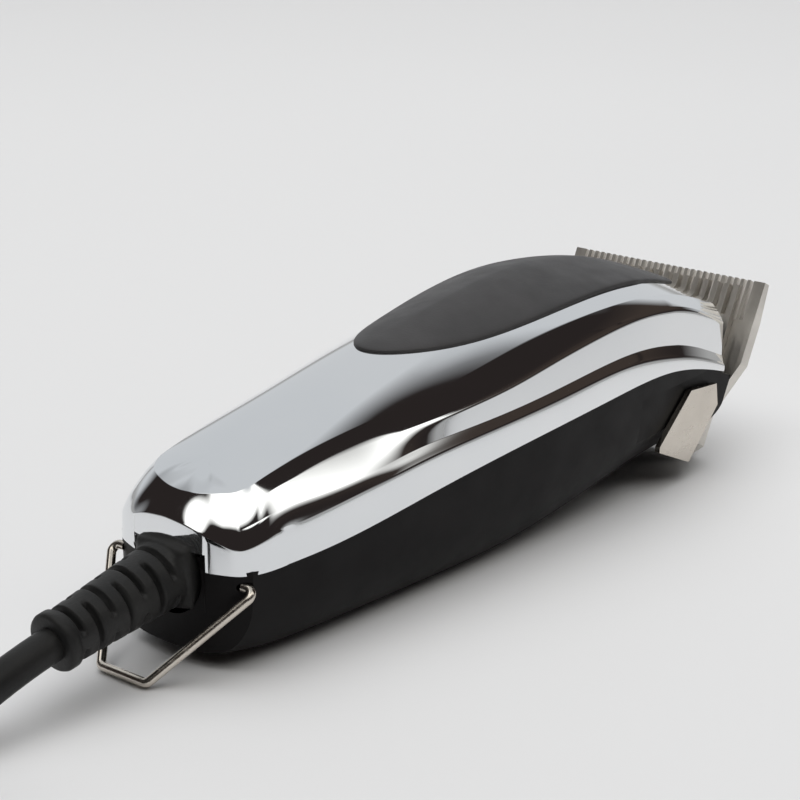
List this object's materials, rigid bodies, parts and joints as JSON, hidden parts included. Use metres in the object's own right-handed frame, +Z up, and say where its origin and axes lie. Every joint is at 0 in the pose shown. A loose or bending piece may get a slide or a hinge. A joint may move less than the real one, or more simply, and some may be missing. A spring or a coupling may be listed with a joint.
{
  "type": "hair clipper",
  "caption": "Corded hair clipper with a bright crowned cover, grip pad, toothed blades, taper lever, hang hook, ribbed strain relief and a tied hank of cord.",
  "frame": {"origin": "on the table, below the middle of the clipper's box without the cord and what is on it", "axes": "+X towards the blades, +Y to the clipper's left, +Z up"},
  "size_m": [0.3383, 0.0524, 0.0457],
  "materials": {
    "chrome_shell": "polished",
    "grip_rubber": "matte",
    "housing_black": "satin",
    "blade_steel": "ground",
    "screw_steel": "turned",
    "lamination_steel": "dull",
    "bobbin_plastic": "matte",
    "copper_winding": "lacquered",
    "spring_steel": "satin",
    "inner_plastic": "matte",
    "boot_rubber": "satin",
    "wire_insulation": "satin",
    "cord_rubber": "satin",
    "tie_rubber": "matte",
    "plug_plastic": "satin",
    "pin_brass": "polished",
    "finger_plastic": "matte",
    "lever_nickel": "satin",
    "switch_plastic": "gloss",
    "brass_screw": "turned"
  },
  "bodies": {
    "root": {"top_cover": "chrome_shell", "grip_pad": "grip_rubber", "bottom_housing": "housing_black", "stationary_blade": "blade_steel", "blade_screws": "screw_steel", "stator_core": "lamination_steel", "coil_bobbin": "bobbin_plastic", "coil_winding": "copper_winding", "motor_screws": "screw_steel", "pivot_pin": "screw_steel", "return_springs": "spring_steel", "switch_body": "inner_plastic", "strain_relief": "boot_rubber", "cord_clamp": "inner_plastic", "lead_wires": "wire_insulation", "housing_screws": "screw_steel", "cord": "cord_rubber", "cord_tail": "cord_rubber", "cord_hank": "cord_rubber", "cord_tie": "tie_rubber", "plug_body": "plug_plastic", "plug_pins": "pin_brass"},
    "armature": {"armature_arm": "lamination_steel", "armature_pole": "lamination_steel", "drive_finger": "finger_plastic"},
    "moving_blade": {"moving_blade": "blade_steel"},
    "cam_follower": {"cam_follower": "finger_plastic", "blade_spring": "spring_steel"},
    "taper_lever": {"taper_lever": "lever_nickel", "lever_shaft": "finger_plastic"},
    "switch_button": {"switch_button": "switch_plastic"},
    "hang_hook": {"hang_hook": "lever_nickel"},
    "power_screw": {"power_screw": "brass_screw"}
  },
  "joints": [
    {"name": "armature_swing", "type": "hinge", "parent": "root", "child": "armature", "pos_m": [-0.024, 0.0045, 0.021], "axis": [0, 0, 1], "range_deg": [-0.72, 0.72], "stiffness_Nm_per_rad": 2},
    {"name": "taper_lever_swing", "type": "hinge", "parent": "root", "child": "taper_lever", "pos_m": [0.057, -0.022, 0.016], "axis": [0, 1, 0], "range_deg": [0, 35]},
    {"name": "follower_slide", "type": "slide", "parent": "root", "child": "cam_follower", "axis": [0.4833, 0, 0.8755], "range_m": [0, 0.0014]},
    {"name": "blade_stroke", "type": "slide", "parent": "cam_follower", "child": "moving_blade", "axis": [0, 1, 0], "range_m": [-0.00122, 0.00122]},
    {"name": "switch_slide", "type": "slide", "parent": "root", "child": "switch_button", "axis": [1, 0, 0], "range_m": [0, 0.004]},
    {"name": "hang_hook_swing", "type": "hinge", "parent": "root", "child": "hang_hook", "pos_m": [-0.066, 0, 0.015], "axis": [0, 1, 0], "range_deg": [-20, 20]},
    {"name": "power_screw_turn", "type": "hinge", "parent": "root", "child": "power_screw", "pos_m": [-0.037, 0.0155, 0.012], "axis": [0, 1, 0], "range_deg": [-90, 90]}
  ],
  "couplings": [
    {"joint": "taper_lever_swing", "follows": "follower_slide", "rad_per_m": 436.33},
    {"joint": "blade_stroke", "follows": "armature_swing", "m_per_rad": 0.0958}
  ]
}
